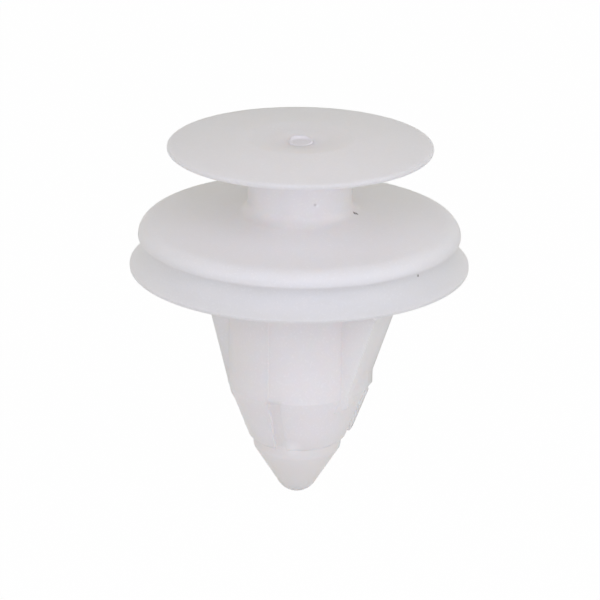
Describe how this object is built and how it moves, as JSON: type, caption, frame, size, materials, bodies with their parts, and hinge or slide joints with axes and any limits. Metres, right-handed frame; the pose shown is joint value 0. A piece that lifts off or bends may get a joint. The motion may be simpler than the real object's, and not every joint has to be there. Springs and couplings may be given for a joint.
{
  "type": "trim panel clip",
  "caption": "Push-in clip that holds a door trim panel: round head and neck for the trim, a flange with a sealing skirt, and a pointed shank with two leaning legs.",
  "frame": {"origin": "centre of the sealing skirt's lower rim, in the plane of the body panel's outer face", "axes": "+Z along the clip's axis from the shank to the head, the legs lie on the X axis, the kneed one on +X"},
  "size_m": [0.0206, 0.0206, 0.023],
  "materials": {
    "natural_nylon": "undyed nylon as moulded, translucent white with a soft satin sheen"
  },
  "bodies": {
    "root": {"trim_clip": "natural_nylon"}
  },
  "joints": []
}
